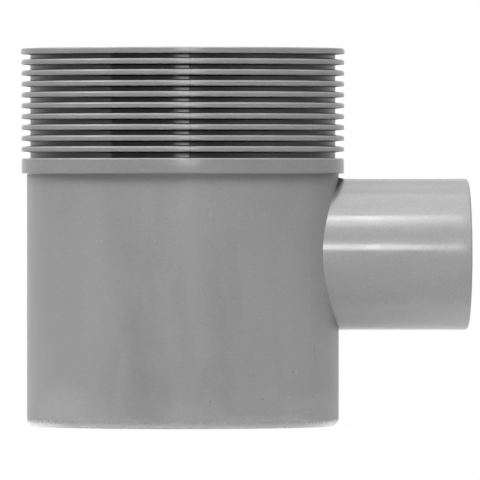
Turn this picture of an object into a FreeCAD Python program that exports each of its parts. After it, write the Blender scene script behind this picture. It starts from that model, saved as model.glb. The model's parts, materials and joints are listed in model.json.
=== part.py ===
# Drain trap body: an upright cup with a ribbed neck and a side outlet, and the
# removable trap insert that stands in it. Millimetres, +Z up, outlet along +X.
# The origin is the centre of the underside, on the axis of the cup.

import FreeCAD, Part
import math
import os

# Cup: the plain lower part of the moulding, whose diameter sets all the others
CUP_HEIGHT = 124.4  # underside to the lower edge of the band
CUP_DIAMETER = 153.6
CUP_WALL = 4.5
FLOOR_THICKNESS = 4.0
BASE_CHAMFER = 2.2

# Band: the plain collar between the cup and the ribs
BAND_PROJECTION = 2.6  # out from the wall of the cup
BAND_HEIGHT = 7.45

# Neck: a thin wall carrying the ribs
NECK_SETBACK = 1.7  # floor of the grooves, in from the wall of the cup
NECK_WALL = 2.1
RIB_DEPTH = 4.4
RIB_COUNT = 10
RIB_PITCH = 5.35
RIB_ROOT_THICKNESS = 2.85
RIB_TIP_THICKNESS = 2.05
LAST_GROOVE = 3.1  # band to the lowest rib
RIM_OVERHANG = 0.2  # the top rib stands out this much further than the others
RIM_EXTRA = 0.2  # and reaches this much further down

# Outlet: the pipe spigot on the side of the cup
OUTLET_DIAMETER = 75.0
OUTLET_WALL = 3.0
OUTLET_REACH = 140.5  # axis of the cup to the end of the spigot
OUTLET_SOCKET_LENGTH = 54.0  # parallel end that goes into a pipe socket
OUTLET_DRAFT_DEG = 0.5  # each side, thickening from the parallel end towards the cup
OUTLET_HEADROOM = 2.1  # top of the parallel end to the band
OUTLET_END_CHAMFER = 0.9

# Trap insert: a plate with a dip tube, standing on the floor of the cup
INSERT_WALL = 2.2
INSERT_CLEARANCE = 1.4  # edge of the plate to the bore, bridged by the seal
COLLAR_HEIGHT = 5.0
COLLAR_THICKNESS = 2.4
DIP_TUBE_DIAMETER = 56.0
DIP_GAP = 14.5  # height of the openings under the dip tube
LEG_COUNT = 3
LEG_WIDTH = 8.0

# Lip seal: a rubber ring that sits on the plate, round the collar
SEAL_FOOT = 2.0  # width of its seat on the plate
SEAL_HEIGHT = 3.8
SEAL_LIP_RISE = 1.6
SEAL_CLEARANCE = 0.1

# Heights and radii that follow from the sizes above
BAND_TOP = CUP_HEIGHT + BAND_HEIGHT
LOWEST_RIB = BAND_TOP + LAST_GROOVE + RIB_ROOT_THICKNESS / 2
BODY_HEIGHT = LOWEST_RIB + (RIB_COUNT - 1) * RIB_PITCH + RIB_ROOT_THICKNESS / 2
CUP_RADIUS = CUP_DIAMETER / 2
CUP_BORE_RADIUS = CUP_RADIUS - CUP_WALL
BAND_RADIUS = CUP_RADIUS + BAND_PROJECTION
NECK_RADIUS = CUP_RADIUS - NECK_SETBACK
NECK_BORE_RADIUS = NECK_RADIUS - NECK_WALL
RIB_RADIUS = NECK_RADIUS + RIB_DEPTH
RIM_RADIUS = RIB_RADIUS + RIM_OVERHANG
OUTLET_RADIUS = OUTLET_DIAMETER / 2
OUTLET_AXIS_HEIGHT = CUP_HEIGHT - OUTLET_HEADROOM - OUTLET_RADIUS
PLATE_BOTTOM = CUP_HEIGHT
PLATE_TOP = PLATE_BOTTOM + INSERT_WALL
PLATE_RADIUS = CUP_BORE_RADIUS - INSERT_CLEARANCE
COLLAR_RADIUS = PLATE_RADIUS - SEAL_FOOT - SEAL_CLEARANCE
TUBE_RADIUS = DIP_TUBE_DIAMETER / 2
TUBE_BORE_RADIUS = TUBE_RADIUS - INSERT_WALL

FULL_TURN_DEG = 360
ORIGIN = FreeCAD.Vector(0, 0, 0)
UPRIGHT = FreeCAD.Vector(0, 0, 1)
OUTWARD = FreeCAD.Vector(1, 0, 0)


def turned(corners):
    """A solid turned about the axis of the cup, from corners given as (radius, height).

    The section stands opposite the outlet, which keeps the seam clear of it.
    """
    points = [FreeCAD.Vector(-radius, 0, height) for radius, height in corners]
    face = Part.Face(Part.makePolygon(points + points[:1]))
    return face.revolve(ORIGIN, UPRIGHT, FULL_TURN_DEG)


def outlet_bar(corners):
    """A solid turned about the axis of the outlet, from corners given as (radius, reach)."""
    points = [FreeCAD.Vector(reach, 0, OUTLET_AXIS_HEIGHT - radius) for radius, reach in corners]
    face = Part.Face(Part.makePolygon(points + points[:1]))
    return face.revolve(FreeCAD.Vector(0, 0, OUTLET_AXIS_HEIGHT), OUTWARD, FULL_TURN_DEG)


def rib_corners(middle):
    """One rib with drafted flanks, from its lower root to its upper root."""
    half_root = RIB_ROOT_THICKNESS / 2
    half_tip = RIB_TIP_THICKNESS / 2
    return [
        (NECK_RADIUS, middle - half_root),
        (RIB_RADIUS, middle - half_tip),
        (RIB_RADIUS, middle + half_tip),
        (NECK_RADIUS, middle + half_root),
    ]


def body_outside():
    """The cup, the band and the ribbed neck as one solid, before it is hollowed."""
    corners = [
        (0, 0),
        (CUP_RADIUS - BASE_CHAMFER, 0),
        (CUP_RADIUS, BASE_CHAMFER),
        (CUP_RADIUS, CUP_HEIGHT),
        (BAND_RADIUS, CUP_HEIGHT),
        (BAND_RADIUS, BAND_TOP),
        (NECK_RADIUS, BAND_TOP),
    ]
    for number in range(RIB_COUNT):
        corners += rib_corners(LOWEST_RIB + number * RIB_PITCH)
    # The top rib is flush with the rim, so its upper side is flat.
    (root, lower_root), (_, lower_tip) = corners[-4:-2]
    corners[-4:] = [
        (root, lower_root - RIM_EXTRA),
        (RIM_RADIUS, lower_tip - RIM_EXTRA),
        (RIM_RADIUS, BODY_HEIGHT),
        (0, BODY_HEIGHT),
    ]
    return turned(corners)


def body_cavity():
    """The space inside, drawn upwards off one core: the cup's bore and the wider neck bore."""
    return turned(
        [
            (0, FLOOR_THICKNESS),
            (CUP_BORE_RADIUS, FLOOR_THICKNESS),
            (CUP_BORE_RADIUS, BAND_TOP),
            (NECK_BORE_RADIUS, BAND_TOP),
            (NECK_BORE_RADIUS, BODY_HEIGHT),
            (0, BODY_HEIGHT),
        ]
    )


def trap_body():
    """The one-piece moulding: cup, band, ribbed neck and outlet spigot."""
    drafted_reach = OUTLET_REACH - OUTLET_SOCKET_LENGTH
    thickening = drafted_reach * math.tan(math.radians(OUTLET_DRAFT_DEG))
    spigot = outlet_bar(
        [
            (0, 0),
            (OUTLET_RADIUS + thickening, 0),
            (OUTLET_RADIUS, drafted_reach),
            (OUTLET_RADIUS, OUTLET_REACH - OUTLET_END_CHAMFER),
            (OUTLET_RADIUS - OUTLET_END_CHAMFER, OUTLET_REACH),
            (0, OUTLET_REACH),
        ]
    )
    bore_radius = OUTLET_RADIUS - OUTLET_WALL
    passage = outlet_bar([(0, 0), (bore_radius, 0), (bore_radius, OUTLET_REACH), (0, OUTLET_REACH)])
    return body_outside().fuse(spigot).cut(body_cavity()).cut(passage).removeSplitter()


def dip_openings():
    """The openings round the foot of the dip tube, with the legs left standing between them."""
    reach = TUBE_RADIUS + INSERT_WALL
    openings = Part.makeCylinder(reach, DIP_GAP, FreeCAD.Vector(0, 0, FLOOR_THICKNESS))
    for number in range(LEG_COUNT):
        leg = Part.makeBox(reach, LEG_WIDTH, DIP_GAP)
        leg.translate(FreeCAD.Vector(0, -LEG_WIDTH / 2, FLOOR_THICKNESS))
        leg.rotate(ORIGIN, UPRIGHT, FULL_TURN_DEG / LEG_COUNT * (number + 0.5))
        openings = openings.cut(leg)
    return openings


def dip_tube_insert():
    """The removable moulding: plate, collar and dip tube on legs."""
    collar_inner_radius = COLLAR_RADIUS - COLLAR_THICKNESS
    collar_top = PLATE_TOP + COLLAR_HEIGHT
    plate_and_tube = turned(
        [
            (TUBE_BORE_RADIUS, FLOOR_THICKNESS),
            (TUBE_RADIUS, FLOOR_THICKNESS),
            (TUBE_RADIUS, PLATE_BOTTOM),
            (PLATE_RADIUS, PLATE_BOTTOM),
            (PLATE_RADIUS, PLATE_TOP),
            (COLLAR_RADIUS, PLATE_TOP),
            (COLLAR_RADIUS, collar_top),
            (collar_inner_radius, collar_top),
            (collar_inner_radius, PLATE_TOP),
            (TUBE_BORE_RADIUS, PLATE_TOP),
        ]
    )
    return plate_and_tube.cut(dip_openings())


def lip_seal():
    """The rubber ring: a wedge on the plate whose outer lip reaches the cup's bore."""
    inner_radius = COLLAR_RADIUS + SEAL_CLEARANCE
    return turned(
        [
            (inner_radius, PLATE_TOP),
            (inner_radius + SEAL_FOOT, PLATE_TOP),
            (CUP_BORE_RADIUS - SEAL_CLEARANCE, PLATE_TOP + SEAL_LIP_RISE),
            (inner_radius, PLATE_TOP + SEAL_HEIGHT),
        ]
    )


os.makedirs("parts", exist_ok=True)
trap_body().exportStep("parts/trap_body.step")
dip_tube_insert().exportStep("parts/dip_tube_insert.step")
lip_seal().exportStep("parts/lip_seal.step")
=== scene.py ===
"""Drain trap body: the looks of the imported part, its studio light and its camera.

The moulded body, the trap insert and its rubber seal are modelled again on the frame's own
sizes, with the eased edges and rounded ribs of real mouldings. All lengths are in metres.
"""

import json
import logging
import math
from dataclasses import dataclass
from enum import Enum
from functools import reduce
from typing import ClassVar, Sequence, Union

import bmesh
import bpy
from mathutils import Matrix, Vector


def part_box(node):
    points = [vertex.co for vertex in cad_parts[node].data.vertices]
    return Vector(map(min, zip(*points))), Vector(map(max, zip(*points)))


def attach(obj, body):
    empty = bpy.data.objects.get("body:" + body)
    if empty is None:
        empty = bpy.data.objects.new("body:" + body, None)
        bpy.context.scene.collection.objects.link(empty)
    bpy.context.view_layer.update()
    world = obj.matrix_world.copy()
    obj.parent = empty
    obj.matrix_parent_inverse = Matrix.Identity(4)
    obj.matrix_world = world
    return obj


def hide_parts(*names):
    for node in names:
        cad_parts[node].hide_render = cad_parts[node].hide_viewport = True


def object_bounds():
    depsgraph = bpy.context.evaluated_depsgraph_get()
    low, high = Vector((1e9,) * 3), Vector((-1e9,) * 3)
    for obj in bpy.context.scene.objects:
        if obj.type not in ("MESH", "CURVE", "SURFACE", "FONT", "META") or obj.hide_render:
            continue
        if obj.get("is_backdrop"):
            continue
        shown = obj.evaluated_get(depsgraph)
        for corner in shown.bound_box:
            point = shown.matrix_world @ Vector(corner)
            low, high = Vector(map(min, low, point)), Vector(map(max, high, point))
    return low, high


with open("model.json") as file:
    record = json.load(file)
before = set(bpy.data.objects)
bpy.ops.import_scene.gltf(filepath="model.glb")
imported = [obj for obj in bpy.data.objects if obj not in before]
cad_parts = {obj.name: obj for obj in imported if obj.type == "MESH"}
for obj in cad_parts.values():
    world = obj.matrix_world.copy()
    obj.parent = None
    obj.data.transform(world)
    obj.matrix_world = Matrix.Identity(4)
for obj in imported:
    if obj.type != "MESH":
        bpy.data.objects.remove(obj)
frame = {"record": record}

log = logging.getLogger("drain_trap")

MM = 0.001
SAME_PLACE = 0.001 * MM
EASING_SEGMENTS = 4
SMOOTH_ANGLE_DEG = 35

# Levels between which most of a soft noise and of the fine grain lie
MOST_NOISE = (0.3, 0.7)
MOST_GRAIN = (0.25, 0.75)

Socket = bpy.types.NodeSocket
Level = Union[Socket, float]
Piece = bpy.types.Object


# Modelling by turning, cutting and joining


class Combine(Enum):
    """How a second mesh changes the first."""

    JOIN = "UNION"
    CUT = "DIFFERENCE"


@dataclass(frozen=True)
class Corner:
    """One corner of a turned section.

    Attributes:
        radius: distance from the axis of turning.
        along: place along that axis.
        easing: how far the corner is rounded back along both its edges.
        cuts: points added evenly on the edge that leads to this corner.
    """

    radius: float
    along: float
    easing: float = 0.0
    cuts: int = 0


@dataclass(frozen=True)
class Lathe:
    """An axis of turning, with the number of steps in a full turn.

    Attributes:
        centre: a point on the axis.
        axis: unit vector along the axis.
        outward: unit vector from the axis to where the section is drawn.
        steps: number of flat facets round the turn.
    """

    centre: Vector
    axis: Vector
    outward: Vector
    steps: int

    def place(self, corner: Corner) -> Vector:
        """Where a section's corner lies in the frame."""
        return self.centre + self.axis * corner.along + self.outward * corner.radius


def upright_lathe(steps: int) -> Lathe:
    """The upright axis of the cup, with its seam opposite the outlet."""
    return Lathe(Vector((0, 0, 0)), Vector((0, 0, 1)), Vector((-1, 0, 0)), steps)


def start_point(name: str) -> Piece:
    """Start a mesh as one point at the origin, left in edit mode.

    Args:
        name: name of the new piece.

    Returns:
        The piece, selected and active.
    """
    bpy.ops.object.select_all(action="DESELECT")
    bpy.ops.mesh.primitive_plane_add(size=MM)
    piece = bpy.context.object
    piece.name = piece.data.name = name
    bpy.ops.object.mode_set(mode="EDIT")
    bpy.context.tool_settings.mesh_select_mode = (True, False, False)
    bpy.ops.mesh.select_all(action="SELECT")
    bpy.ops.mesh.merge(type="CENTER")
    return piece


def select_points(piece: Piece, places: Sequence[Vector]) -> None:
    """Select, in edit mode, only the points that lie at these places.

    Args:
        piece: the mesh that is being edited.
        places: where the wanted points are.
    """
    bpy.ops.mesh.select_all(action="DESELECT")
    mesh = bmesh.from_edit_mesh(piece.data)
    for point in mesh.verts:
        point.select_set(any((point.co - place).length < SAME_PLACE for place in places))
    mesh.select_flush_mode()
    bmesh.update_edit_mesh(piece.data)


def turned(name: str, corners: Sequence[Corner], lathe: Lathe, ring: bool = False) -> Piece:
    """Draw a section point by point, ease its corners and spin it into a closed skin.

    Args:
        name: name of the new piece.
        corners: the section, from the axis back to the axis unless it is a ring.
        lathe: the axis that it is spun about.
        ring: whether the last corner joins the first, clear of the axis.

    Returns:
        The turned piece, in object mode.
    """
    piece = start_point(name)
    places = [lathe.place(corner) for corner in corners]
    bpy.ops.transform.translate(value=places[0])
    for corner, here, there in zip(corners[1:], places, places[1:]):
        runs = corner.cuts + 1
        for _ in range(runs):
            bpy.ops.mesh.extrude_region_move(TRANSFORM_OT_translate={"value": (there - here) / runs})
    if ring:
        select_points(piece, [places[0], places[-1]])
        bpy.ops.mesh.edge_face_add()
    for easing in sorted({corner.easing for corner in corners} - {0.0}):
        eased = [place for corner, place in zip(corners, places) if corner.easing == easing]
        select_points(piece, eased)
        bpy.ops.mesh.bevel(
            offset_type="OFFSET", offset=easing, segments=EASING_SEGMENTS, affect="VERTICES"
        )
    bpy.ops.mesh.select_all(action="SELECT")
    bpy.ops.mesh.spin(steps=lathe.steps, angle=math.tau, center=lathe.centre, axis=lathe.axis)
    bpy.ops.mesh.select_all(action="SELECT")
    bpy.ops.mesh.remove_doubles(threshold=SAME_PLACE)
    bpy.ops.mesh.normals_make_consistent(inside=False)
    bpy.ops.object.mode_set(mode="OBJECT")
    return piece


def block(name: str, low: Vector, high: Vector, turn_deg: float) -> Piece:
    """Model a block with sharp edges, turned about the upright axis.

    Args:
        name: name of the new piece.
        low: lowest corner before the turn.
        high: highest corner before the turn.
        turn_deg: turn about the upright axis through the origin.

    Returns:
        The block, in object mode, with its place in its mesh.
    """
    bpy.ops.object.select_all(action="DESELECT")
    bpy.ops.mesh.primitive_cube_add(size=1.0)
    piece = bpy.context.object
    piece.name = piece.data.name = name
    bpy.ops.object.mode_set(mode="EDIT")
    bpy.ops.mesh.select_all(action="SELECT")
    bpy.ops.transform.resize(value=high - low)
    bpy.ops.transform.translate(value=(low + high) / 2)
    bpy.ops.object.mode_set(mode="OBJECT")
    piece.rotation_euler.z = math.radians(turn_deg)
    bpy.ops.object.transform_apply(location=True, rotation=True, scale=True)
    return piece


def combine(target: Piece, tool: Piece, how: Combine) -> None:
    """Join a mesh to the target or cut it out of it, and use the mesh up.

    Args:
        target: the piece that changes.
        tool: the mesh that is joined or cut out, which is then removed.
        how: whether it is joined or cut.
    """
    modifier = target.modifiers.new(how.name.lower(), "BOOLEAN")
    modifier.operation = how.value
    modifier.solver = "EXACT"
    modifier.object = tool
    bpy.ops.object.select_all(action="DESELECT")
    bpy.context.view_layer.objects.active = target
    bpy.ops.object.modifier_apply(modifier=modifier.name)
    bpy.data.objects.remove(tool)


def smooth(piece: Piece) -> None:
    """Shade a piece smooth, with its true edges kept sharp.

    Args:
        piece: the mesh to shade.
    """
    bpy.ops.object.select_all(action="DESELECT")
    piece.select_set(True)
    bpy.context.view_layer.objects.active = piece
    bpy.ops.object.shade_smooth_by_angle(angle=math.radians(SMOOTH_ANGLE_DEG))


# Finishes


class NodeSheet:
    """The node tree of one material, with short ways to add what the finishes need."""

    def __init__(self, name: str) -> None:
        """Start a material with a plain shader and its Object coordinates.

        Args:
            name: name of the material.
        """
        self.material = bpy.data.materials.new(name)
        self.material.use_nodes = True
        self.tree = self.material.node_tree
        self.shader = self.tree.nodes["Principled BSDF"]
        self.place = self.tree.nodes.new("ShaderNodeTexCoord").outputs["Object"]

    def _fill(self, socket: Socket, value: Level) -> None:
        """Link a socket to another socket, or set its plain value.

        Args:
            socket: the input to fill.
            value: the output to link to it, or a plain value.
        """
        if isinstance(value, bpy.types.NodeSocket):
            self.tree.links.new(value, socket)
        else:
            socket.default_value = value

    def axes(self) -> tuple[Socket, Socket, Socket]:
        """The three Object coordinates as separate numbers.

        Returns:
            The places across, in depth and upwards.
        """
        node = self.tree.nodes.new("ShaderNodeSeparateXYZ")
        self._fill(node.inputs[0], self.place)
        return node.outputs["X"], node.outputs["Y"], node.outputs["Z"]

    def stretched(self, per_metre: Sequence[float]) -> Socket:
        """Object coordinates scaled along each axis, for a pattern of that many cells a metre.

        Args:
            per_metre: number of cells a metre along each axis.

        Returns:
            The scaled coordinates.
        """
        node = self.tree.nodes.new("ShaderNodeMapping")
        self._fill(node.inputs["Vector"], self.place)
        node.inputs["Scale"].default_value = per_metre
        return node.outputs["Vector"]

    def noise(self, vector: Socket, detail: float = 2.0, distortion: float = 0.0) -> Socket:
        """Soft noise of one cell per unit of the vector.

        Args:
            vector: the scaled coordinates that it is laid on.
            detail: number of finer layers.
            distortion: how far the cells are bent out of shape.

        Returns:
            The noise's value, from 0 to 1 and mostly near 0.5.
        """
        node = self.tree.nodes.new("ShaderNodeTexNoise")
        self._fill(node.inputs["Vector"], vector)
        node.inputs["Scale"].default_value = 1.0
        node.inputs["Detail"].default_value = detail
        node.inputs["Distortion"].default_value = distortion
        return node.outputs["Fac"]

    def between(
        self, value: Socket, start: float, end: float, first: float = 0.0, last: float = 1.0
    ) -> Socket:
        """Ease a value from one level to another across a range.

        Args:
            value: the number to read.
            start: where the range starts.
            end: where it ends.
            first: the level at and before the start.
            last: the level at and after the end.

        Returns:
            The eased level.
        """
        node = self.tree.nodes.new("ShaderNodeMapRange")
        node.interpolation_type = "SMOOTHSTEP"
        self._fill(node.inputs["Value"], value)
        node.inputs["From Min"].default_value = start
        node.inputs["From Max"].default_value = end
        node.inputs["To Min"].default_value = first
        node.inputs["To Max"].default_value = last
        return node.outputs["Result"]

    def spread(self, noise: Socket, low: float, high: float) -> Socket:
        """Noise spread from one level to another over the range in which most of it lies."""
        return self.between(noise, *MOST_NOISE, low, high)

    def turn(self) -> Socket:
        """Turn about the upright axis in radians, from the front towards the outlet."""
        across, depth, _ = self.axes()
        return self.math("ARCTAN2", across, self.math("MULTIPLY", depth, -1.0))

    def from_axis(self) -> Socket:
        """Distance from the cup's axis."""
        squares = [self.math("POWER", offset, 2.0) for offset in self.axes()[:2]]
        return self.math("SQRT", self.math("ADD", *squares))

    def from_middle(self) -> Socket:
        """Distance to either side of the plane in which the mould halves met."""
        return self.math("ABSOLUTE", self.axes()[0])

    def near(self, value: Socket, middle: float, reach: float) -> Socket:
        """1 where a value is close to a middle, easing to 0 at a reach from it."""
        offset = self.math("ABSOLUTE", self.math("SUBTRACT", value, middle))
        return self.between(offset, reach / 2, reach, 1.0, 0.0)

    def math(self, operation: str, first: Level, second: Level = 0.0) -> Socket:
        """One sum on numbers or sockets.

        Args:
            operation: name of the sum.
            first: the number or socket that it starts from.
            second: the one that it works with, if it needs one.

        Returns:
            The result.
        """
        node = self.tree.nodes.new("ShaderNodeMath")
        node.operation = operation
        self._fill(node.inputs[0], first)
        self._fill(node.inputs[1], second)
        return node.outputs["Value"]

    def product(self, *factors: Level) -> Socket:
        """All the factors multiplied together."""
        return reduce(lambda first, second: self.math("MULTIPLY", first, second), factors)

    def total(self, *parts: Level) -> Socket:
        """All the parts added together."""
        return reduce(lambda first, second: self.math("ADD", first, second), parts)

    def change(self, *factors: Level) -> Socket:
        """1 more than the product of the factors, as a factor on the grey."""
        return self.math("ADD", self.product(*factors), 1.0)

    def bump(self, height: Socket, depth: float) -> None:
        """Raise the surface by a height of 0 to 1 times a depth in metres.

        Args:
            height: the height at each place.
            depth: the depth.
        """
        node = self.tree.nodes.new("ShaderNodeBump")
        node.inputs["Strength"].default_value = 1.0
        node.inputs["Distance"].default_value = depth
        self._fill(node.inputs["Height"], height)
        self._fill(self.shader.inputs["Normal"], node.outputs["Normal"])

    def film(self, strength: Level, roughness: float) -> None:
        """Lay a smoother clear skin over the surface, which shows most at grazing views."""
        self._fill(self.shader.inputs["Coat Weight"], strength)
        self.shader.inputs["Coat Roughness"].default_value = roughness

    def finish(self, grey: Socket, roughness: Socket, gloss: float) -> bpy.types.Material:
        """Wire the colour and roughness, and set the gloss.

        Args:
            grey: linear grey level of the surface.
            roughness: roughness of the surface.
            gloss: strength of the mirror reflection, 0.5 for plain plastic.

        Returns:
            The finished material.
        """
        self._fill(self.shader.inputs["Base Color"], grey)
        self._fill(self.shader.inputs["Roughness"], roughness)
        self.shader.inputs["Specular IOR Level"].default_value = gloss
        return self.material


@dataclass(frozen=True)
class MouldedSkin:
    """A moulded plastic surface: its grey, its gloss, its fine grain and its soft clouds.

    Attributes:
        name: name of the material.
        grey: linear grey level.
        roughness: middle roughness.
        gloss: strength of the mirror reflection.
        film: strength of the smoother moulded skin that shows at grazing views.
        film_roughness: roughness of that skin.
        grain_size: width of the fine grain.
        grain_contrast: how far the grain changes the grey.
        grain_depth: height of the grain.
        cloud_size: width of the clouds along each axis.
        cloud_contrast: how far the clouds change the grey.
        cloud_roughness: how far they change the roughness.
    """

    name: str
    grey: float
    roughness: float
    gloss: float = 0.5
    film: float = 0.0
    film_roughness: float = 0.25
    grain_size: float = 0.6 * MM
    grain_contrast: float = 0.08
    grain_depth: float = 0.01 * MM
    cloud_size: tuple[float, float, float] = (16.0 * MM, 16.0 * MM, 20.0 * MM)
    cloud_contrast: float = 0.05
    cloud_roughness: float = 0.05

    def grain(self, sheet: NodeSheet) -> Socket:
        """The fine grain, as noise from 0 to 1."""
        return sheet.noise(sheet.stretched([1 / self.grain_size] * 3), detail=3.0)

    def clouds(self, sheet: NodeSheet) -> Socket:
        """The soft clouds of the melt, as noise from 0 to 1."""
        cells = sheet.stretched([1 / size for size in self.cloud_size])
        return sheet.noise(cells, detail=3.0, distortion=0.6)

    def marks(self, sheet: NodeSheet) -> list[Socket]:
        """Further factors on the grey, which plain skins lack."""
        return []

    def film_of(self, sheet: NodeSheet) -> Level:
        """Strength of the smoother skin, which is even on plain surfaces."""
        return self.film

    def roughness_of(self, sheet: NodeSheet, clouds: Socket) -> Socket:
        """Roughness, a little uneven with the clouds."""
        low, high = 1 - self.cloud_roughness, 1 + self.cloud_roughness
        return sheet.spread(clouds, self.roughness * low, self.roughness * high)

    def material(self) -> bpy.types.Material:
        """Make the material.

        Returns:
            The material, with its colour, roughness and bump wired.
        """
        sheet = NodeSheet(self.name)
        grain, clouds = self.grain(sheet), self.clouds(sheet)
        fine = sheet.between(grain, *MOST_GRAIN, 1 - self.grain_contrast, 1 + self.grain_contrast)
        soft = sheet.spread(clouds, 1 - self.cloud_contrast, 1 + self.cloud_contrast)
        grey = sheet.product(fine, soft, *self.marks(sheet), self.grey)
        sheet.bump(grain, self.grain_depth)
        sheet.film(self.film_of(sheet), self.film_roughness)
        return sheet.finish(grey, self.roughness_of(sheet, clouds), self.gloss)


@dataclass(frozen=True)
class UprightMark:
    """A thin upright mark on the cup's wall.

    Attributes:
        turn_deg: where it is, turned from the front towards the outlet.
        height: height of its middle.
        length: its length.
        contrast: how much paler it is than the wall, or darker if negative.
        width: its width.
    """

    turn_deg: float
    height: float
    length: float
    contrast: float
    width: float = 0.6 * MM


DRAG_MARKS = (
    *(UprightMark(turn, 104.2 * MM, 2.6 * MM, 0.12) for turn in (7.6, 17.9, 28.5, 41.0)),
    *(UprightMark(turn, 91.4 * MM, 1.6 * MM, 0.2) for turn in (-53.7, -33.7, -12.8)),
    UprightMark(50.5, 68.0 * MM, 56.0 * MM, 0.05),
    UprightMark(54.3, 38.3 * MM, 4.2 * MM, -0.3, 0.45 * MM),
    UprightMark(54.9, 33.6 * MM, 3.4 * MM, -0.3, 0.45 * MM),
    *(
        UprightMark(turn, height * MM, 1.3 * MM, contrast, 0.55 * MM)
        for turn, height, contrast in (
            (27.9, 14.5, -0.35),
            (23.9, 25.8, -0.25),
            (53.0, 15.5, -0.3),
            (41.6, 27.3, -0.35),
            (7.2, 13.3, -0.3),
            (43.6, 27.8, 0.25),
            (39.5, 15.2, 0.2),
        )
    ),
)


@dataclass(frozen=True)
class ToneAndLightPatch:
    """A soft oval on the cup's wall painted a little paler or darker: partly random tone, partly painted
    light and shade.

    Attributes:
        turn_deg: where its middle is, turned from the front towards the outlet.
        height: height of its middle.
        half_turn_deg: half its width, as a turn.
        half_height: half its height.
        contrast: how much paler it is than the wall, or darker if negative.
        end: how far from its middle it ends, in half sizes and squared.
    """

    turn_deg: float
    height: float
    half_turn_deg: float
    half_height: float
    contrast: float
    end: float = 2.4

    def shade(self, sheet: NodeSheet, turn: Socket, height: Socket, ragged: Socket) -> Socket:
        """The patch's contrast in its middle, easing to 0 across its ragged outline.

        Args:
            sheet: the node tree to add to.
            turn: turn about the cup's axis.
            height: height above the underside.
            ragged: noise that bends the outline.

        Returns:
            The change of the grey.
        """
        squares = []
        for value, middle, half in (
            (turn, math.radians(self.turn_deg), math.radians(self.half_turn_deg)),
            (height, self.height, self.half_height),
        ):
            offset = sheet.math("SUBTRACT", value, middle)
            squares.append(sheet.math("POWER", sheet.math("DIVIDE", offset, half), 2.0))
        away = sheet.total(*squares, ragged)
        return sheet.between(away, 0.0, self.end, self.contrast, 0.0)


# Patches of tone, partly painted light and shade: the paler top at the front and the darker lower middle
# follow how the wall is lit, and the paler patches at the foot stand for light from the floor
TONE_AND_LIGHT_PATCHES = tuple(
    ToneAndLightPatch(turn_deg, height * MM, half_turn_deg, half_height * MM, contrast)
    for turn_deg, height, half_turn_deg, half_height, contrast in (
        (-2.7, 124.0, 20.0, 34.0, 0.06),
        (-40.0, 98.0, 6.0, 26.0, 0.04),
        (-33.5, 64.0, 7.0, 26.0, 0.04),
        (3.9, 54.0, 5.0, 21.0, 0.03),
        (-16.5, 84.0, 6.0, 9.0, -0.03),
        (-13.0, 76.0, 18.0, 28.0, -0.025),
        (12.9, 67.0, 5.0, 27.0, -0.04),
        (0.0, 30.0, 26.0, 30.0, -0.05),
        (-30.0, 20.0, 11.0, 32.0, -0.04),
        (-16.5, 27.0, 9.0, 26.0, -0.07),
        (-17.5, 23.5, 3.5, 6.0, -0.04),
        (-3.0, 30.0, 8.0, 15.0, -0.05),
        (9.5, 21.0, 5.5, 12.0, -0.06),
        (-1.0, 4.0, 6.0, 7.0, 0.05),
        (33.0, 1.5, 20.0, 4.0, 0.16),
        (-32.0, 1.5, 20.0, 4.0, 0.08),
        (76.0, 1.0, 11.0, 2.0, 0.5),
        (-53.0, 1.5, 9.0, 2.5, -0.25),
        (56.0, 6.0, 18.0, 9.0, 0.15),
        (-53.0, 7.0, 15.0, 11.0, 0.14),
        (44.0, 76.0, 14.0, 44.0, 0.03),
    )
)


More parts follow.
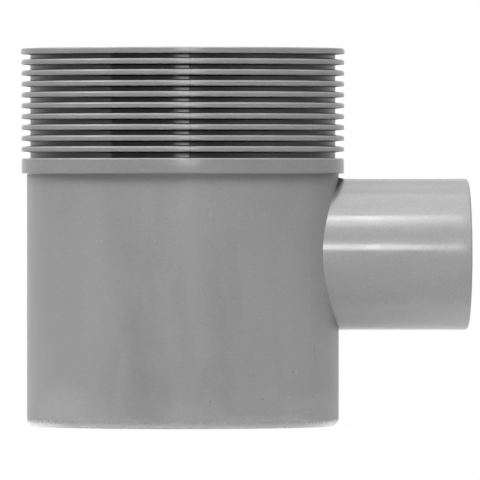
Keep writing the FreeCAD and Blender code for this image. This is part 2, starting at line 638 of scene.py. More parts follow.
@dataclass(frozen=True)
class CupSkin(MouldedSkin):
    """The cup's matt wall, with drag marks, specks, painted shade under the band and painted light low
    down.

    Attributes:
        radius: radius of the wall.
        top: height at which the band starts.
        marks_reach: how far from the axis the marks start and are full, clear of the underside.
        painted_shade_height: how far below the band the painted shade of its overhang goes.
        painted_shade_contrast: change of the grey there.
        painted_light_edge_height: height of the lower edge, which is painted paler for light from the
            floor.
        painted_light_edge_contrast: change of the grey there.
        painted_side_light_contrast: change of the grey there at both sides, where more light is painted.
        painted_side_light_from: how far to each side that change starts, as a share of the radius.
        painted_side_light_full: how far to each side it is at its full, as a share of the radius.
        painted_light_foot_height: height of the foot, which is painted palest for light from the floor.
        painted_light_foot_contrast: change of the grey there.
        ragged_height: how far the top of the edge goes up and down.
        scuff_height: height at which no scuffs are left.
        scuff_size: distance between scuffs.
        scuff_share: noise level above which a scuff starts.
        scuff_contrast: change of the grey on a scuff.
        speck_height: height at which no specks are left.
        speck_size: distance between specks.
        speck_share: noise level above which a speck starts.
        speck_contrast: change of the grey on a speck.
        spot_edge: change of the noise level from the outline of a spot to its middle.
        streak_length: how many times taller than wide the spots are.
        raggedness: how far the clouds bend the outlines of the paler and darker patches.
    """

    radius: float = 76.8 * MM
    top: float = 124.4 * MM
    marks_reach: tuple[float, float] = (71.0 * MM, 74.0 * MM)
    # Painted shade on the wall under the band's overhang
    painted_shade_height: float = 8.0 * MM
    painted_shade_contrast: float = -0.3
    # Painted light from the floor on the lower edge, palest at both sides and at the foot
    painted_light_edge_height: float = 3.9 * MM
    painted_light_edge_contrast: float = 0.55
    painted_side_light_contrast: float = 2.6
    painted_side_light_from: float = 0.7
    painted_side_light_full: float = 0.98
    painted_light_foot_height: float = 1.5 * MM
    painted_light_foot_contrast: float = 0.9
    ragged_height: float = 0.8 * MM
    scuff_height: float = 3.0 * MM
    scuff_size: float = 1.2 * MM
    scuff_share: float = 0.42
    scuff_contrast: float = 0.5
    speck_height: float = 30.0 * MM
    speck_size: float = 1.5 * MM
    speck_share: float = 0.62
    speck_contrast: float = 0.15
    spot_edge: float = 0.15
    streak_length: float = 2.0
    raggedness: float = 0.6

    def drag(self, sheet: NodeSheet, turn: Socket, height: Socket) -> Socket:
        """The sum of all the upright marks.

        Args:
            sheet: the node tree to add to.
            turn: turn about the cup's axis.
            height: height above the underside.

        Returns:
            The change of the grey.
        """
        marks = []
        for mark in DRAG_MARKS:
            across = sheet.near(turn, math.radians(mark.turn_deg), mark.width / self.radius)
            along = sheet.near(height, mark.height, mark.length / 2)
            marks.append(sheet.product(across, along, mark.contrast))
        return sheet.total(*marks)

    def spots(
        self, sheet: NodeSheet, height: Socket, reach: float, size: float, share: float
    ) -> Socket:
        """Spots that thin out upwards.

        Args:
            sheet: the node tree to add to.
            height: height above the underside.
            reach: height at which no spots are left.
            size: distance between spots.
            share: noise level above which a spot starts.

        Returns:
            1 in the middle of a spot and 0 between them.
        """
        low = sheet.between(height, 0.0, reach, 1.0, 0.0)
        spots = sheet.between(self.streaks(sheet, size), share, share + self.spot_edge)
        return sheet.product(low, spots)

    def streaks(self, sheet: NodeSheet, size: float) -> Socket:
        """Fine upright noise from 0 to 1."""
        cells = [1 / size, 1 / size, 1 / (size * self.streak_length)]
        return sheet.noise(sheet.stretched(cells), detail=3.0)

    def edge(self, sheet: NodeSheet, height: Socket) -> Socket:
        """Painted light from the floor on the lower edge, ragged at its top, palest at both sides and at
        the foot.

        Args:
            sheet: the node tree to add to.
            height: height above the underside.

        Returns:
            The change of the grey.
        """
        streaks = self.streaks(sheet, self.scuff_size)
        ragged = sheet.spread(streaks, -self.ragged_height, self.ragged_height)
        low = sheet.between(sheet.math("ADD", height, ragged), 0.0, self.painted_light_edge_height, 1.0, 0.0)
        reach = (self.radius * self.painted_side_light_from, self.radius * self.painted_side_light_full)
        pale = sheet.between(sheet.from_middle(), *reach, self.painted_light_edge_contrast, self.painted_side_light_contrast)
        foot = sheet.between(height, 0.0, self.painted_light_foot_height, self.painted_light_foot_contrast, 0.0)
        return sheet.total(sheet.product(pale, low), foot)

    def film_of(self, sheet: NodeSheet) -> Socket:
        """Strength of the smoother skin, which is at its full at the foot of the lower edge."""
        return sheet.between(sheet.axes()[2], self.painted_light_foot_height, self.painted_light_edge_height, 1.0, self.film)

    def marks(self, sheet: NodeSheet) -> list[Socket]:
        """Painted shade under the band, tone and painted-light patches, drag marks, specks, scuffs,
        painted-light edge.

        Args:
            sheet: the node tree to add to.

        Returns:
            The factors on the grey.
        """
        height, turn = sheet.axes()[2], sheet.turn()
        scuffs = self.spots(sheet, height, self.scuff_height, self.scuff_size, self.scuff_share)
        specks = self.spots(sheet, height, self.speck_height, self.speck_size, self.speck_share)
        ragged = sheet.spread(self.clouds(sheet), -self.raggedness, self.raggedness)
        total = sheet.total(
            # Painted light on the lower edge
            self.edge(sheet, height),
            # Painted shade under the band
            sheet.between(height, self.top - self.painted_shade_height, self.top, 0.0, self.painted_shade_contrast),
            self.drag(sheet, turn, height),
            *(patch.shade(sheet, turn, height, ragged) for patch in TONE_AND_LIGHT_PATCHES),
            sheet.product(scuffs, self.scuff_contrast),
            sheet.product(specks, self.speck_contrast),
        )
        outside = sheet.between(sheet.from_axis(), *self.marks_reach)
        return [sheet.change(total, outside)]


@dataclass(frozen=True)
class RibSkin(MouldedSkin):
    """The ribs and the band, crossed front and back by the mould's parting line, with painted shade at
    the sides.

    Attributes:
        line_width: how far to each side of its middle the parting line goes.
        line_contrast: change of the grey there.
        line_from: height at which the line starts.
        line_full: height from which it is at its darkest.
        painted_side_light_from: how far to each side the ribs start to darken with painted shade.
        painted_side_light_full: how far to each side they are at their darkest.
        painted_side_light_contrast: change of the grey there.
    """

    line_width: float = 0.35 * MM
    line_contrast: float = -0.3
    line_from: float = 126.0 * MM
    line_full: float = 132.0 * MM
    # Painted shade towards both sides
    painted_side_light_from: float = 60.0 * MM
    painted_side_light_full: float = 79.0 * MM
    painted_side_light_contrast: float = -0.2

    def marks(self, sheet: NodeSheet) -> list[Socket]:
        """The thin dark parting line, which is lost on the lower part of the band, and painted shade at
        the sides.

        Args:
            sheet: the node tree to add to.

        Returns:
            The factors on the grey.
        """
        across, _, height = sheet.axes()
        line = sheet.near(across, 0.0, self.line_width)
        strength = sheet.between(height, self.line_from, self.line_full, 0.0, self.line_contrast)
        # Painted shade: the ribs and the band darken towards both sides
        away = sheet.from_middle()
        sides = sheet.between(away, self.painted_side_light_from, self.painted_side_light_full, 1.0, 1.0 + self.painted_side_light_contrast)
        return [sheet.change(line, strength), sides]


@dataclass(frozen=True)
class GrooveSkin(MouldedSkin):
    """The groove floors, painted dark for the shade in them, with painted shade under each rib and a
    polished strip.

    Attributes:
        underside: height of the underside of the top rib.
        pitch: distance from rib to rib.
        painted_shade_height: how far below a rib the painted shade goes.
        painted_shade_contrast: change of the grey there.
        painted_shade_full: how far to each side the painted shade is at its darkest.
        painted_shade_end: how far to each side it goes.
        dull_film: strength of the film outside the polished strip.
        side_film: strength of the film at both sides.
        film_from: how far to each side that film starts.
        film_full: how far to each side it is at its full strength.
        polish_from: where the polish starts, left of the parting line.
        polish_full: where it reaches its full strength.
        polish_to: where it stops short.
        stop_width: width over which it stops.
        painted_left_light_from: middle of the change to the left side, painted paler for the light it
            mirrors.
        painted_left_light_width: width of that change.
        painted_left_light_contrast: how much paler the left side is painted.
        painted_right_light_from: middle of the change to the right side, painted paler for the light it
            mirrors.
        painted_right_light_width: width of that change.
        painted_right_light_contrast: how much paler the right side is painted.
    """

    underside: float = 183.0 * MM
    pitch: float = 5.35 * MM
    # Painted shade under each rib
    painted_shade_height: float = 0.95 * MM
    painted_shade_contrast: float = -0.95
    painted_shade_full: float = 38.0 * MM
    painted_shade_end: float = 64.0 * MM
    dull_film: float = 0.2
    side_film: float = 0.75
    film_from: float = 56.0 * MM
    film_full: float = 76.0 * MM
    polish_from: float = -10.8 * MM
    polish_full: float = -4.5 * MM
    polish_to: float = -0.65 * MM
    stop_width: float = 0.2 * MM
    # Painted reflection: the groove floors are painted paler towards both sides
    painted_left_light_from: float = -37.9 * MM
    painted_left_light_width: float = 2.0 * MM
    painted_left_light_contrast: float = 1.9
    painted_right_light_from: float = 23.0 * MM
    painted_right_light_width: float = 34.0 * MM
    painted_right_light_contrast: float = 1.9

    def corner_shade_factor(self, sheet: NodeSheet, contrast: float) -> Socket:
        """1 on the open floor and at the sides, less by the contrast in the painted shade under a rib.

        Args:
            sheet: the node tree to add to.
            contrast: the change in that corner.

        Returns:
            The factor.
        """
        below = sheet.math("SUBTRACT", self.underside, sheet.axes()[2])
        below = sheet.math("FLOORED_MODULO", below, self.pitch)
        corner = sheet.between(below, self.painted_shade_height / 4, self.painted_shade_height, 1.0, 0.0)
        strength = sheet.between(sheet.from_middle(), self.painted_shade_full, self.painted_shade_end, contrast, 0.0)
        return sheet.change(corner, strength)

    def film_of(self, sheet: NodeSheet) -> Socket:
        """A polish that grows towards the parting line and stops sharply, and a film at both sides.

        Args:
            sheet: the node tree to add to.

        Returns:
            Strength of the film, which is lost in the painted shade under the ribs.
        """
        across = sheet.axes()[0]
        grown = sheet.between(across, self.polish_from, self.polish_full, 0.0, self.film)
        stopped = sheet.between(across, self.polish_to, self.polish_to + self.stop_width, 1.0, 0.0)
        away = sheet.from_middle()
        sides = sheet.between(away, self.film_from, self.film_full, self.dull_film, self.side_film)
        film = sheet.math("MAXIMUM", sheet.product(grown, stopped), sides)
        return sheet.product(film, self.corner_shade_factor(sheet, -1.0))

    def marks(self, sheet: NodeSheet) -> list[Socket]:
        """The painted shade under the ribs and the sides painted paler as a painted reflection.

        Args:
            sheet: the node tree to add to.

        Returns:
            The factors on the grey.
        """
        # Painted reflection: both sides painted paler for the light that the floors mirror there
        sides = [
            sheet.between(sheet.axes()[0], middle - width / 2, middle + width / 2, first, last)
            for middle, width, first, last in (
                (self.painted_left_light_from, self.painted_left_light_width, self.painted_left_light_contrast, 0.0),
                (self.painted_right_light_from, self.painted_right_light_width, 0.0, self.painted_right_light_contrast),
            )
        ]
        # Painted reflection on the paler sides and painted shade under each rib
        return [sheet.total(1.0, *sides), self.corner_shade_factor(sheet, self.painted_shade_contrast)]


@dataclass(frozen=True)
class SpigotSkin(MouldedSkin):
    """The smooth spigot, with painted shade where its top runs under the band into the cup.

    Attributes:
        cup_radius: radius of the cup that it grows out of.
        painted_shade_reach: how far out from the cup the painted shade goes.
        painted_shade_from: height at which it starts.
        painted_shade_full: height from which it is at its darkest.
        painted_shade_contrast: change of the grey there.
        painted_end_light_from: distance from the cup's axis at which the underside painted paler for
            floor light starts.
        painted_end_light_full: distance at which it is at its palest.
        painted_end_light_bottom: height up to which it is at its palest.
        painted_end_light_top: height at which it ends.
        painted_end_light_contrast: change of the grey there.
        painted_shade_belt_height: height of the middle of the belt of painted shade along both flanks.
        painted_shade_belt_reach: how far up and down it goes.
        painted_shade_belt_contrast: change of the grey there.
        rough_from: distance from the cup's axis at which the end starts to be rougher.
        rough_full: distance at which it is at its roughest.
        end_roughness: roughness added there.
        patch_range: levels of the clouds between which the roughness changes in patches.
        patch_roughness: how far the patches change it.
    """

    cup_radius: float = 76.8 * MM
    # Painted shade where the top runs under the band into the cup
    painted_shade_reach: float = 3.6 * MM
    painted_shade_from: float = 109.0 * MM
    painted_shade_full: float = 122.0 * MM
    painted_shade_contrast: float = -0.97
    # Painted light from the floor on the underside of the end
    painted_end_light_from: float = 85.0 * MM
    painted_end_light_full: float = 138.0 * MM
    painted_end_light_bottom: float = 50.0 * MM
    painted_end_light_top: float = 76.0 * MM
    painted_end_light_contrast: float = 0.17
    # A belt of painted shade along both flanks
    painted_shade_belt_height: float = 73.0 * MM
    painted_shade_belt_reach: float = 16.0 * MM
    painted_shade_belt_contrast: float = -0.09
    rough_from: float = 121.0 * MM
    rough_full: float = 140.0 * MM
    end_roughness: float = 0.09
    patch_range: tuple[float, float] = (0.35, 0.65)
    patch_roughness: float = 0.03

    def roughness_of(self, sheet: NodeSheet, clouds: Socket) -> Socket:
        """Roughness that is patchy with the clouds and grows at the end.

        Args:
            sheet: the node tree to add to.
            clouds: the soft clouds, as noise from 0 to 1.

        Returns:
            The roughness.
        """
        low, high = self.roughness - self.patch_roughness, self.roughness + self.patch_roughness
        patchy = sheet.between(clouds, *self.patch_range, low, high)
        end = sheet.between(sheet.axes()[0], self.rough_from, self.rough_full, 0.0, self.end_roughness)
        return sheet.total(patchy, end)

    def marks(self, sheet: NodeSheet) -> list[Socket]:
        """The painted shade under the band, painted floor light on the end's underside and a belt of
        painted shade.

        Args:
            sheet: the node tree to add to.

        Returns:
            The factors on the grey.
        """
        across, _, height = sheet.axes()
        reach = (self.cup_radius, self.cup_radius + self.painted_shade_reach)
        close = sheet.between(sheet.from_axis(), *reach, 1.0, 0.0)
        high = sheet.between(height, self.painted_shade_from, self.painted_shade_full)
        belt_shade = sheet.near(height, self.painted_shade_belt_height, self.painted_shade_belt_reach)
        out = sheet.between(across, self.painted_end_light_from, self.painted_end_light_full)
        low = sheet.between(height, self.painted_end_light_bottom, self.painted_end_light_top, self.painted_end_light_contrast, 0.0)
        return [
            # Painted shade where the spigot runs under the band
            sheet.change(close, high, self.painted_shade_contrast),
            # Painted light from the floor on the end's underside
            sheet.change(out, low),
            # Painted shade along both flanks
            sheet.change(belt_shade, self.painted_shade_belt_contrast),
        ]


CUP_SKIN = CupSkin(
    "cup_skin",
    grey=0.263,
    roughness=0.6,
    gloss=0.2,
    film=0.45,
    cloud_size=(18.0 * MM, 18.0 * MM, 60.0 * MM),
    cloud_contrast=0.03,
)
RIB_SKIN = RibSkin("rib_skin", grey=0.249, roughness=0.25, gloss=0.4, cloud_contrast=0.03)
# Grey painted dark for the shade in the deep grooves
GROOVE_SKIN = GrooveSkin(
    "groove_skin",
    grey=0.05,
    roughness=0.5,
    gloss=0.0,
    film=1.0,
    film_roughness=0.28,
    cloud_contrast=0.03,
)
# Paler grey of the ribs' shoulders and flanks: a painted highlight on the upper edges and painted light
# from below on the lower flanks
RIB_LIT_EDGE_SKIN = RibSkin("rib_lit_edge_skin", grey=0.37, roughness=0.35, gloss=0.3, cloud_contrast=0.08)
SPIGOT_SKIN = SpigotSkin(
    "spigot_skin",
    grey=0.345,
    roughness=0.15,
    gloss=0.6,
    grain_depth=0.002 * MM,
    cloud_size=(22.0 * MM, 10.0 * MM, 10.0 * MM),
    cloud_contrast=0.02,
)
CORE_SKIN = MouldedSkin("core_skin", grey=0.27, roughness=0.4, cloud_contrast=0.03)
INSERT_SKIN = MouldedSkin("insert_skin", grey=0.42, roughness=0.45, cloud_contrast=0.02)
SEAL_SKIN = MouldedSkin("seal_skin", grey=0.03, roughness=0.6, grain_contrast=0.12)


# Pieces


def mount_size(name: str, size: str) -> float:
    """A size of one of the record's mounts.

    Args:
        name: name of the mount.
        size: name of the size, in millimetres in the record.

    Returns:
        The size in metres.
    """
    mounts = {mount["name"]: mount for mount in frame["record"]["mounts"]}
    return mounts[name]["dims"][size] * MM


def hand_over(piece: Piece, node: str) -> None:
    """Let a finished piece stand for its node, on the part's one body.

    Args:
        piece: the finished piece.
        node: the node that it stands for.
    """
    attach(piece, "root")
    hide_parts(node)


@dataclass
class TrapBody:
    """The one-piece moulding: cup, band, ribbed neck and outlet spigot.

    Attributes:
        NODE: the node that it stands for.
        SKINS: its finishes, in the order of its material slots.
        FLANK_FACING: upward or downward share of the normal from which a rib's face is a flank.
        TOP_FACING: upward share of the normal above which the rim's face is its flat top.
    """

    NODE: ClassVar[str] = "trap_body"
    SKINS: ClassVar[tuple[MouldedSkin, ...]] = (
        CUP_SKIN,
        RIB_SKIN,
        GROOVE_SKIN,
        RIB_LIT_EDGE_SKIN,
        SPIGOT_SKIN,
        CORE_SKIN,
    )
    FLANK_FACING: ClassVar[float] = 0.3
    TOP_FACING: ClassVar[float] = 0.9

    rib_radius: float = mount_size("ribbed_neck", "r_mm")
    neck_bore_radius: float = mount_size("neck_bore", "r_mm")
    outlet_radius: float = mount_size("outlet_spigot", "r_mm")
    ribbed_length: float = mount_size("ribbed_neck", "length_mm")
    neck_bore_length: float = mount_size("neck_bore", "length_mm")
    cup_inset: float = 2.7 * MM
    cup_wall: float = 4.5 * MM
    floor: float = 4.0 * MM
    base_chamfer: float = 2.6 * MM
    band_inset: float = 0.1 * MM
    rib_depth: float = 4.4 * MM
    rib_count: int = 10
    rib_pitch: float = 5.35 * MM
    rib_drop: float = 1.425 * MM
    rib_root: float = 3.05 * MM
    rib_tip: float = 2.25 * MM
    rim_overhang: float = 0.2 * MM
    rim_extra: float = 0.2 * MM
    outlet_headroom: float = 2.1 * MM
    outlet_wall: float = 3.0 * MM
    socket_length: float = 54.0 * MM
    outlet_draft_deg: float = 0.5
    end_easing: float = 0.9 * MM
    lower_easing: float = 0.35 * MM
    root_easing: float = 0.4 * MM
    shoulder_height: float = 0.55 * MM
    shoulder_depth: float = 0.32 * MM
    shoulder_easing: float = 0.14 * MM
    tip_lean: float = 0.12 * MM
    band_lean: float = 0.12 * MM
    band_lean_height: float = 3.5 * MM
    band_easing: float = 0.9 * MM
    base_easing: float = 1.1 * MM
    mouth_easing: float = 0.6 * MM
    sump_easing: float = 3.0 * MM
    row_height: float = 5.0 * MM
    body_steps: int = 192
    outlet_steps: int = 160

    def __post_init__(self) -> None:
        """Work out the places that follow from the sizes and the frame."""
        _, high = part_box(self.NODE)
        self.height, self.reach = high.z, high.x
        self.band_bottom = self.height - self.ribbed_length
        self.band_top = self.height - self.neck_bore_length
        self.outlet_height = self.band_bottom - self.outlet_headroom - self.outlet_radius
        self.cup_radius = self.rib_radius - self.cup_inset
        self.band_radius = self.rib_radius - self.band_inset
        self.neck_radius = self.rib_radius - self.rib_depth
        self.cup_bore_radius = self.cup_radius - self.cup_wall
        self.outlet_bore_radius = self.outlet_radius - self.outlet_wall

    def rows(self, length: float) -> int:
        """Number of cuts that keep the rows of a long wall short."""
        return max(0, round(length / self.row_height) - 1)

    def rib_corners(self, middle: float) -> list[Corner]:
        """One rib from its lower root to its upper root, with drafted flanks.

        Args:
            middle: height of the rib's middle.

        Returns:
            The rib's part of the section.
        """
        half_root, half_tip = self.rib_root / 2, self.rib_tip / 2
        return [
            Corner(self.neck_radius, middle - half_root, self.root_easing),
            *self.tip_corners(self.rib_radius, middle - half_tip, middle + half_tip),
            Corner(self.neck_radius, middle + half_root, self.root_easing, cuts=1),
        ]

    def tip_corners(self, radius: float, bottom: float, top: float) -> list[Corner]:
        """The tip of a rib: a face that leans back a little, and a shoulder at its upper edge.

        Args:
            radius: middle radius of the face.
            bottom: height of its lower edge.
            top: height of the shoulder's upper edge.

        Returns:
            The tip's part of the section.
        """
        shoulder = radius - self.tip_lean / 2
        return [
            Corner(radius + self.tip_lean / 2, bottom, self.lower_easing, cuts=1),
            Corner(shoulder, top - self.shoulder_height, self.shoulder_easing),
            Corner(shoulder - self.shoulder_depth, top, self.shoulder_easing),
        ]

    def outside(self) -> Piece:
        """The cup, the band and the ribbed neck, still solid inside.

        Returns:
            The solid piece.
        """
        shoulder = self.band_radius - self.band_lean
        corners = [
            Corner(0, 0),
            Corner(self.cup_radius - self.base_chamfer, 0, self.base_easing, cuts=4),
            Corner(self.cup_radius, self.base_chamfer, self.base_easing),
            Corner(self.cup_radius, self.band_bottom, self.root_easing, self.rows(self.band_bottom)),
            Corner(self.band_radius, self.band_bottom, self.lower_easing),
            Corner(self.band_radius, self.band_top - self.band_lean_height, self.band_easing, cuts=2),
            Corner(shoulder, self.band_top - self.shoulder_height, self.shoulder_easing, cuts=2),
            Corner(shoulder - self.shoulder_depth, self.band_top, self.shoulder_easing),
            Corner(self.neck_radius, self.band_top, self.root_easing, cuts=1),
        ]
        top_rib = self.height - self.rib_drop
        for number in reversed(range(1, self.rib_count)):
            corners += self.rib_corners(top_rib - number * self.rib_pitch)
        rim_radius = self.rib_radius + self.rim_overhang
        rim_bottom = top_rib - self.rib_tip / 2 - self.rim_extra
        corners += [
            Corner(self.neck_radius, top_rib - self.rib_root / 2 - self.rim_extra, self.root_easing),
            *self.tip_corners(rim_radius, rim_bottom, self.height),
            Corner(0, self.height, cuts=4),
        ]
        return turned(self.NODE + "_moulding", corners, upright_lathe(self.body_steps))

    def mouth_corners(self, bore_radius: float, end: float, length: float) -> list[Corner]:
        """The open end of a bore: its wall, its eased mouth and the space past it.

        Args:
            bore_radius: radius of the bore.
            end: where it ends, along its axis.
            length: length of its wall.

        Returns:
            The last part of the section that is cut out.
        """
        mouth, past_end = bore_radius + self.mouth_easing, end + self.row_height
        return [
            Corner(bore_radius, end - self.mouth_easing, self.mouth_easing / 2, self.rows(length)),
            Corner(mouth, end),
            Corner(mouth, past_end),
            Corner(0, past_end),
        ]

    def cavity(self) -> Piece:
        """The space inside, open at the top, with an eased mouth.

        Returns:
            The piece to cut out.
        """
        corners = [
            Corner(0, self.floor),
            Corner(self.cup_bore_radius, self.floor, self.sump_easing, cuts=4),
            Corner(self.cup_bore_radius, self.band_top, cuts=self.rows(self.band_top - self.floor)),
            Corner(self.neck_bore_radius, self.band_top),
            *self.mouth_corners(self.neck_bore_radius, self.height, self.neck_bore_length),
        ]
        return turned("cavity", corners, upright_lathe(self.body_steps))

    def outlet_lathe(self) -> Lathe:
        """The level axis of the outlet."""
        centre = Vector((0, 0, self.outlet_height))
        return Lathe(centre, Vector((1, 0, 0)), Vector((0, 0, -1)), self.outlet_steps)

    def spigot(self) -> Piece:
        """The outlet as a solid bar: a drafted root, a parallel end and an eased lip.

        Returns:
            The piece to join on.
        """
        parallel_from = self.reach - self.socket_length
        root_radius = self.outlet_radius + parallel_from * math.tan(math.radians(self.outlet_draft_deg))
        lip = self.end_easing
        corners = [
            Corner(0, 0),
            Corner(root_radius, 0),
            Corner(self.outlet_radius, parallel_from, cuts=self.rows(parallel_from)),
            Corner(self.outlet_radius, self.reach - lip, lip / 2, cuts=self.rows(self.socket_length)),
            Corner(self.outlet_radius - lip, self.reach, lip / 3),
            Corner(0, self.reach),
        ]
        return turned("spigot", corners, self.outlet_lathe())

    def passage(self) -> Piece:
        """The water way through the spigot, with an eased mouth.

        Returns:
            The piece to cut out.
        """
        corners = [
            Corner(0, 0),
            Corner(self.outlet_bore_radius, 0),
            *self.mouth_corners(self.outlet_bore_radius, self.reach, self.reach),
        ]
        return turned("passage", corners, self.outlet_lathe())

    def skin_at(self, middle: Vector, facing: Vector) -> MouldedSkin:
        """The finish of a face, from where its middle is and where it faces.

        Args:
            middle: the face's middle.
            facing: its normal.

        Returns:
            The finish.
        """
        from_axis = math.hypot(middle.x, middle.y)
        from_outlet = math.hypot(middle.y, middle.z - self.outlet_height)
        slack = self.root_easing / 2
        if from_axis > self.cup_radius + slack and middle.z < self.band_bottom - slack:
            in_bore = from_outlet < self.outlet_bore_radius + slack
            return CORE_SKIN if in_bore else SPIGOT_SKIN
        if middle.z > self.floor - slack and from_axis < self.neck_bore_radius + slack:
            return CORE_SKIN
        if middle.z < self.band_bottom - slack:
            in_wall = middle.x > 0 and from_outlet < self.outlet_bore_radius + slack
            return CORE_SKIN if in_wall else CUP_SKIN
        if from_axis < self.neck_radius + slack:
            return GROOVE_SKIN
        on_face = abs(facing.z) < self.FLANK_FACING or middle.z < self.band_top - self.shoulder_height
        on_top = middle.z > self.height - slack and facing.z > self.TOP_FACING
        # Shoulders and flanks take the paler skin, which is painted light
        return RIB_SKIN if on_face or on_top else RIB_LIT_EDGE_SKIN

    def dress(self, piece: Piece) -> None:
        """Give each face the finish of its place.

        Args:
            piece: the finished mesh of the body.
        """
        for skin in self.SKINS:
            piece.data.materials.append(skin.material())
        for face in piece.data.polygons:
            face.material_index = self.SKINS.index(self.skin_at(face.center, face.normal))

    def build(self) -> Piece:
        """Model the body, dress it and let it stand for its node.

        Returns:
            The finished piece.
        """
        piece = self.outside()
        combine(piece, self.spigot(), Combine.JOIN)
        combine(piece, self.cavity(), Combine.CUT)
        combine(piece, self.passage(), Combine.CUT)
        piece.data.materials.clear()
        self.dress(piece)
        smooth(piece)
        hand_over(piece, self.NODE)
        return piece


@dataclass
class TrapInsert:
    """The removable moulding: plate, collar and dip tube on legs."""

    NODE: ClassVar[str] = "dip_tube_insert"

    wall: float = 2.2 * MM
    collar_inset: float = 2.1 * MM
    collar_height: float = 5.0 * MM
    collar_thickness: float = 2.4 * MM
    tube_radius: float = 28.0 * MM
    foot_opening: float = 14.5 * MM
    leg_count: int = 3
    leg_width: float = 8.0 * MM
    easing: float = 0.5 * MM
    bend_easing: float = 2.0 * MM
    steps: int = 144

    def __post_init__(self) -> None:
        """Work out the places that follow from the sizes and the frame."""
        low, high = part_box(self.NODE)
        self.foot, self.top, self.plate_radius = low.z, high.z, high.x
        self.plate_top = self.top - self.collar_height
        self.plate_bottom = self.plate_top - self.wall
        self.collar_radius = self.plate_radius - self.collar_inset
        self.tube_bore_radius = self.tube_radius - self.wall

    def plate_and_tube(self) -> Piece:
        """Plate, collar and dip tube as one turned skin.

        Returns:
            The piece, still without openings.
        """
        collar_inner = self.collar_radius - self.collar_thickness
        corners = [
            Corner(self.tube_bore_radius, self.foot),
            Corner(self.tube_radius, self.foot),
            Corner(self.tube_radius, self.plate_bottom, self.bend_easing, cuts=12),
            Corner(self.plate_radius, self.plate_bottom, self.easing, cuts=4),
            Corner(self.plate_radius, self.plate_top, self.easing),
            Corner(self.collar_radius, self.plate_top),
            Corner(self.collar_radius, self.top, self.easing, cuts=2),
            Corner(collar_inner, self.top, self.easing),
            Corner(collar_inner, self.plate_top, self.easing, cuts=2),
            Corner(self.tube_bore_radius, self.plate_top, self.bend_easing, cuts=4),
            Corner(self.tube_bore_radius, self.foot + self.wall, cuts=12),
        ]
        return turned(self.NODE + "_moulding", corners, upright_lathe(self.steps), ring=True)

    def foot_openings(self) -> Piece:
        """The openings round the foot of the tube, with room left for the legs.

        Returns:
            The piece to cut out.
        """
        reach = self.tube_radius + self.wall
        below, above = self.foot - self.wall, self.foot + self.foot_opening
        corners = [Corner(0, below), Corner(reach, below), Corner(reach, above), Corner(0, above)]
        openings = turned("foot_openings", corners, upright_lathe(self.steps))
        for number in range(self.leg_count):
            low = Vector((0, -self.leg_width / 2, below - self.wall))
            high = Vector((reach + self.wall, self.leg_width / 2, above + self.wall))
            turn_deg = 360 / self.leg_count * (number + 0.5)
            combine(openings, block("leg", low, high, turn_deg), Combine.CUT)
        return openings

    def build(self) -> Piece:
        """Model the insert, dress it and let it stand for its node.

        Returns:
            The finished piece.
        """
        piece = self.plate_and_tube()
        combine(piece, self.foot_openings(), Combine.CUT)
        piece.data.materials.clear()
        piece.data.materials.append(INSERT_SKIN.material())
        smooth(piece)
        hand_over(piece, self.NODE)
        return piece


@dataclass
class LipSeal:
    """The rubber ring on the insert's plate, whose lip reaches the cup's bore."""

    NODE: ClassVar[str] = "lip_seal"

    foot_width: float = 2.0 * MM
    lip_rise: float = 1.6 * MM
    lip_width: float = 3.3 * MM
    easing: float = 0.25 * MM
    steps: int = 144

    def build(self) -> Piece:
        """Model the seal, dress it and let it stand for its node.

        Returns:
            The finished piece.
        """
        low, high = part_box(self.NODE)
        inner = high.x - self.lip_width
        corners = [
            Corner(inner, low.z, self.easing),
            Corner(inner + self.foot_width, low.z, self.easing),
            Corner(high.x, low.z + self.lip_rise, self.easing),
            Corner(inner, high.z, self.easing),
        ]
        piece = turned(self.NODE + "_ring", corners, upright_lathe(self.steps), ring=True)
        piece.data.materials.append(SEAL_SKIN.material())
        smooth(piece)
        hand_over(piece, self.NODE)
        return piece


# Studio


@dataclass(frozen=True)
class Lamp:
    """A soft rectangular lamp that faces the body.

    Attributes:
        name: name of the lamp.
        azimuth_deg: turn from the camera's side, positive to the camera's right.
        elevation_deg: height above the level of the body's middle.
        distance: distance from the body's middle.
        width: level size.
        height: other size.
        power: power in watts.
    """

    name: str
    azimuth_deg: float
    elevation_deg: float
    distance: float
    width: float
    height: float
    power: float

    def hang(self, target: Vector, camera_azimuth_deg: float) -> None:
        """Put the lamp in the scene.

        Args:
            target: the point that it faces.
            camera_azimuth_deg: turn of the camera about the body.
        """
        turn = math.radians(self.azimuth_deg + camera_azimuth_deg)
        rise = math.radians(self.elevation_deg)
        away = Vector((math.sin(turn) * math.cos(rise), -math.cos(turn) * math.cos(rise), math.sin(rise)))
        light = bpy.data.lights.new(self.name, "AREA")
        light.shape = "RECTANGLE"
        light.size, light.size_y = self.width, self.height
        light.energy = self.power
        lamp = bpy.data.objects.new(self.name, light)
        lamp.location = target + away * self.distance
        lamp.rotation_euler = (-away).to_track_quat("-Z", "Y").to_euler()
        lamp.visible_camera = False
        bpy.context.scene.collection.objects.link(lamp)


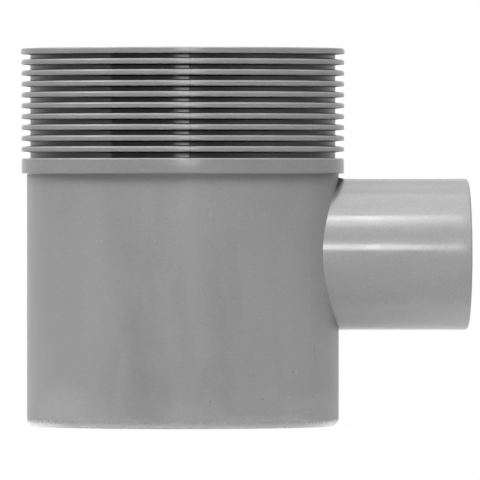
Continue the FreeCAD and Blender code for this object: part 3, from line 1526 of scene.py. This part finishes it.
@dataclass
class Studio:
    """White floor and surroundings, soft lamps and the long-lens camera of the photograph."""

    LAMPS: ClassVar[tuple[Lamp, ...]] = (
        Lamp("overhead", 3.0, 80.0, 1.4, 1.2, 1.2, 7.8),
        Lamp("overhead_back", 183.0, 64.5, 1.4, 1.2, 0.62, 1.3),
        Lamp("upper_front_rise", -2.0, 66.0, 1.4, 0.5, 0.25, 0.35),
        Lamp("upper_front", -2.0, 55.5, 1.4, 0.5, 0.17, 3.4),
        Lamp("upper_front_fade", -2.0, 47.5, 1.4, 0.5, 0.22, 2.4),
        Lamp("upper_front_tail", -2.0, 39.5, 1.4, 0.5, 0.18, 0.4),
        Lamp("front_strip", 2.2, 10.0, 1.6, 0.38, 0.21, 4.1),
        Lamp("front_strip_fade", 2.2, 17.0, 1.6, 0.38, 0.16, 0.4),
        Lamp("left_side", -80.0, 42.0, 1.2, 0.5, 0.5, 8.0),
        Lamp("right_side", 55.0, 45.0, 1.2, 0.5, 0.5, 3.6),
        Lamp("back", 180.0, 12.0, 1.4, 0.8, 0.3, 1.0),
    )

    ambient: float = 0.04
    floor_size: float = 0.7
    floor_grey: float = 0.92
    mottle_size: float = 50.0 * MM
    mottle_contrast: float = 0.01
    floor_whiteness: float = 0.98
    shadow_from: float = 0.09
    shadow_to: float = 0.14
    camera_azimuth_deg: float = -2.65
    camera_distance: float = 5.62
    camera_height: float = 0.123
    frame_width: float = 0.2365
    aim_right: float = 0.02815
    aim_height: float = 0.0916
    sensor_width_mm: float = 36.0

    @staticmethod
    def seen_directly(tree: bpy.types.NodeTree) -> Socket:
        """1 for rays from the camera, a mirror or glass, and 0 for rays that only carry light.

        Args:
            tree: the node tree to add to.

        Returns:
            The test of the ray.
        """
        rays = tree.nodes.new("ShaderNodeLightPath").outputs
        seen = rays["Is Camera Ray"]
        for other in ("Is Glossy Ray", "Is Transmission Ray"):
            either = tree.nodes.new("ShaderNodeMath")
            either.operation = "MAXIMUM"
            tree.links.new(seen, either.inputs[0])
            tree.links.new(rays[other], either.inputs[1])
            seen = either.outputs["Value"]
        return seen

    def surroundings(self) -> None:
        """White where it is seen, and a low even light elsewhere."""
        world = bpy.data.worlds.new("studio")
        bpy.context.scene.world = world
        world.use_nodes = True
        tree = world.node_tree
        strength = tree.nodes.new("ShaderNodeMapRange")
        strength.inputs["To Min"].default_value = self.ambient
        strength.inputs["To Max"].default_value = 1.0
        tree.links.new(self.seen_directly(tree), strength.inputs["Value"])
        background = tree.nodes["Background"]
        background.inputs["Color"].default_value = (1, 1, 1, 1)
        tree.links.new(strength.outputs["Result"], background.inputs["Strength"])

    def floor_material(self) -> bpy.types.Material:
        """Pale floor that still shows the shadow of the body.

        Returns:
            The floor's material.
        """
        sheet = NodeSheet("floor_paper")
        tree = sheet.tree
        mottle = sheet.noise(sheet.stretched([1 / self.mottle_size] * 3))
        reach = (self.shadow_from, self.shadow_to)
        whiteness = sheet.between(sheet.from_axis(), *reach, self.floor_whiteness, 1.0)
        grey = sheet.spread(mottle, self.floor_grey * (1 - self.mottle_contrast), self.floor_grey)
        paper = tree.nodes.new("ShaderNodeBsdfDiffuse")
        tree.links.new(grey, paper.inputs["Color"])
        white = tree.nodes.new("ShaderNodeEmission")
        mix = tree.nodes.new("ShaderNodeMixShader")
        share = sheet.product(self.seen_directly(tree), whiteness)
        tree.links.new(share, mix.inputs["Fac"])
        tree.links.new(paper.outputs["BSDF"], mix.inputs[1])
        tree.links.new(white.outputs["Emission"], mix.inputs[2])
        tree.links.new(mix.outputs["Shader"], tree.nodes["Material Output"].inputs["Surface"])
        tree.nodes.remove(sheet.shader)
        return sheet.material

    def floor(self) -> None:
        """The sheet of paper that the body stands on."""
        bpy.ops.object.select_all(action="DESELECT")
        bpy.ops.mesh.primitive_plane_add(size=self.floor_size)
        floor = bpy.context.object
        floor.name = "floor"
        floor.data.materials.append(self.floor_material())
        floor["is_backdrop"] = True

    def camera(self) -> None:
        """A long lens almost level with the band, a little to the left of square on."""
        turn = math.radians(self.camera_azimuth_deg)
        toward = Vector((math.sin(turn), -math.cos(turn), 0))
        right = Vector((math.cos(turn), math.sin(turn), 0))
        data = bpy.data.cameras.new("camera")
        data.sensor_width = self.sensor_width_mm
        data.lens = self.sensor_width_mm * self.camera_distance / self.frame_width
        camera = bpy.data.objects.new("camera", data)
        camera.location = toward * self.camera_distance + Vector((0, 0, self.camera_height))
        aim = right * self.aim_right + Vector((0, 0, self.aim_height))
        camera.rotation_euler = (aim - camera.location).to_track_quat("-Z", "Y").to_euler()
        bpy.context.scene.collection.objects.link(camera)
        bpy.context.scene.camera = camera

    def build(self, middle: Vector) -> None:
        """Set up the floor, the surroundings, the lamps and the camera.

        Args:
            middle: middle of the object, which the lamps face.
        """
        self.surroundings()
        self.floor()
        for lamp in self.LAMPS:
            lamp.hang(middle, self.camera_azimuth_deg)
        self.camera()
        bpy.context.scene.view_settings.view_transform = "Standard"


def main() -> None:
    """Build the pieces and the studio around the frame."""
    logging.basicConfig(level=logging.INFO, format="%(message)s")
    cad_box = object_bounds()
    for assembly in (TrapBody(), TrapInsert(), LipSeal()):
        piece = assembly.build()
        faces = len(piece.data.polygons)
        log.info("%s stands for %s with %d faces", piece.name, assembly.NODE, faces)
    Studio().build((cad_box[0] + cad_box[1]) / 2)


if __name__ == "__main__":
    main()
